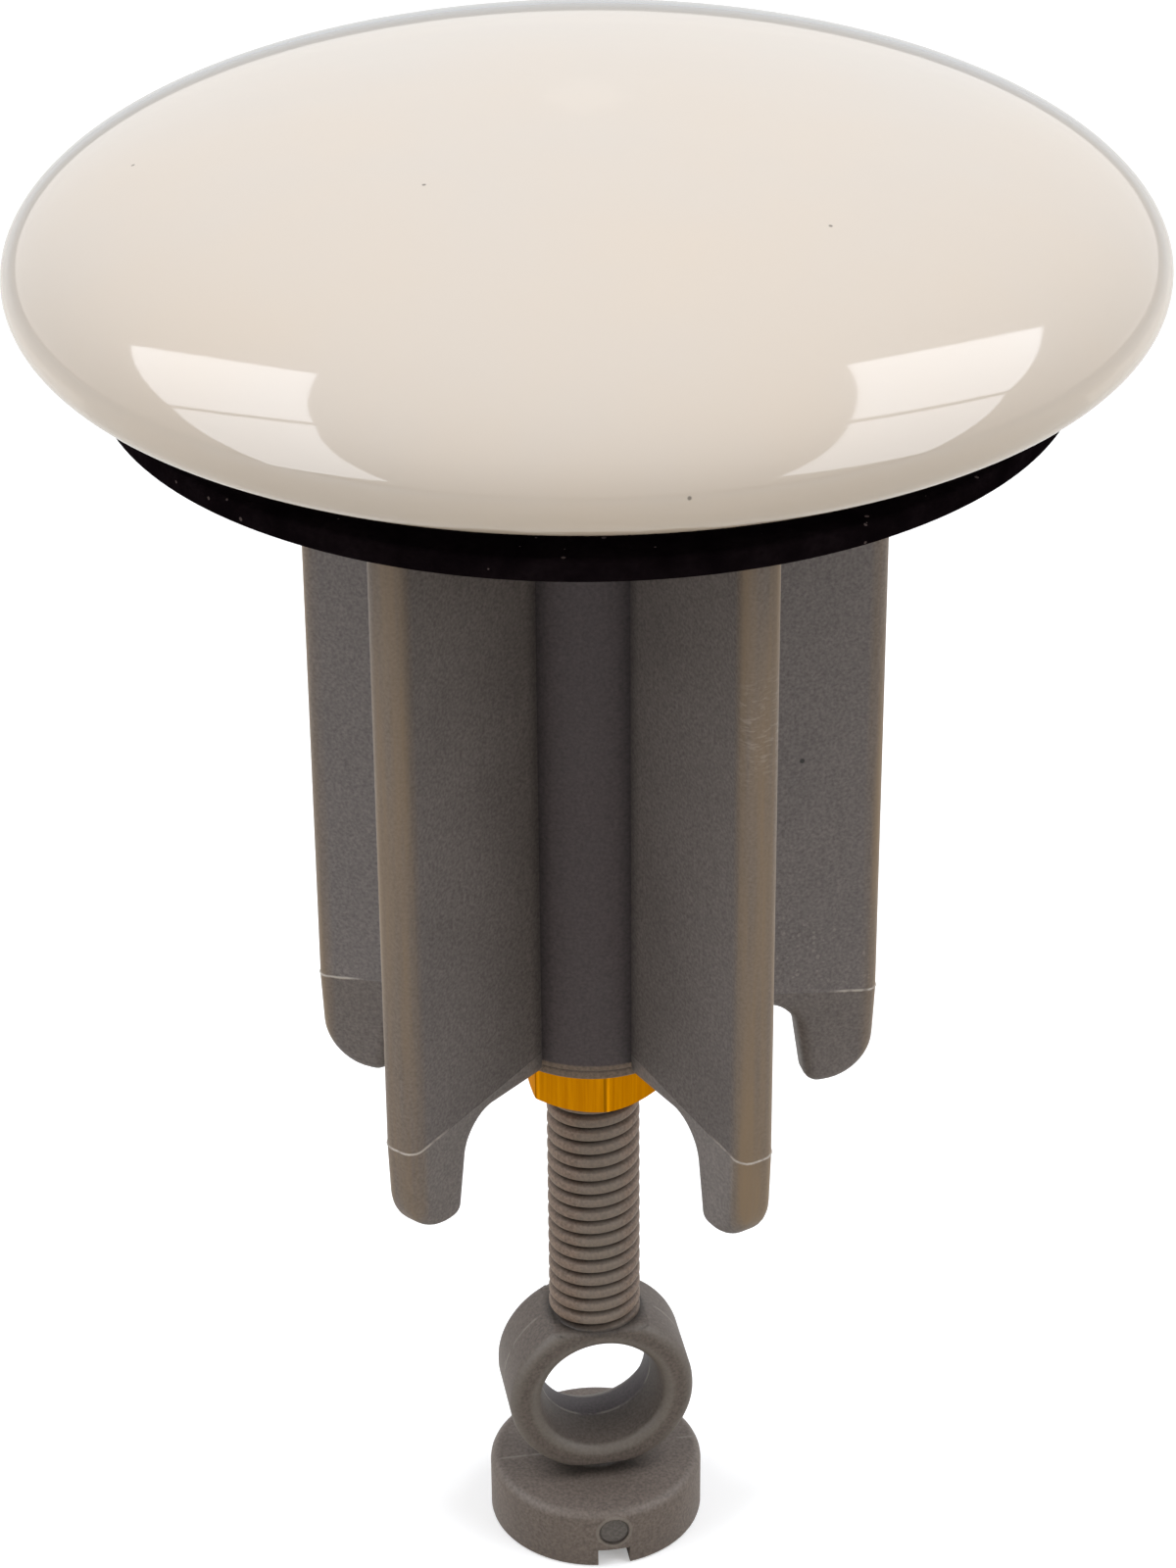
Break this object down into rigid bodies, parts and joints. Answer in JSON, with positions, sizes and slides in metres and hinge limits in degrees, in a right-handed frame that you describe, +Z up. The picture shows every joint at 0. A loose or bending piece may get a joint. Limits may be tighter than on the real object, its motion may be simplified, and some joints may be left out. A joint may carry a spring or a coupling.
{
  "type": "drain stopper",
  "caption": "Pop-up basin drain stopper: enamelled domed cap over a rubber seal, finned plastic guide below, and a threaded eye bolt with lock nut to set its height.",
  "frame": {"origin": "on the stopper's axis, in the plane of the seal's underside, where it meets the drain's seat", "axes": "+Z up along the axis to the cap; -Y is the front, midway between two fins"},
  "size_m": [0.065, 0.065, 0.0975],
  "materials": {
    "enamel": "glossy cream enamel on pressed brass",
    "insert_plastic": "dark moulded plastic",
    "rubber": "smooth black rubber",
    "guide_plastic": "satin warm grey moulding",
    "brass": "turned brass",
    "bolt_plastic": "satin warm grey moulding"
  },
  "bodies": {
    "stopper_body": {"cap_shell": "enamel", "backing_disc": "insert_plastic", "seal_ring": "rubber", "guide_body": "guide_plastic"},
    "lock_nut": {"lock_nut": "brass"},
    "eye_bolt": {"eye_bolt": "bolt_plastic"}
  },
  "joints": [
    {"name": "adjuster_turn", "type": "hinge", "parent": "stopper_body", "child": "lock_nut", "pos_m": [0, 0, -0.0465], "axis": [0, 0, 1], "range_deg": [-4320, 6120]},
    {"name": "eye_bolt_travel", "type": "slide", "parent": "lock_nut", "child": "eye_bolt", "axis": [0, 0, 1], "range_m": [-0.012, 0.017]}
  ],
  "couplings": [
    {"joint": "adjuster_turn", "follows": "eye_bolt_travel", "rad_per_m": 6283.2}
  ]
}
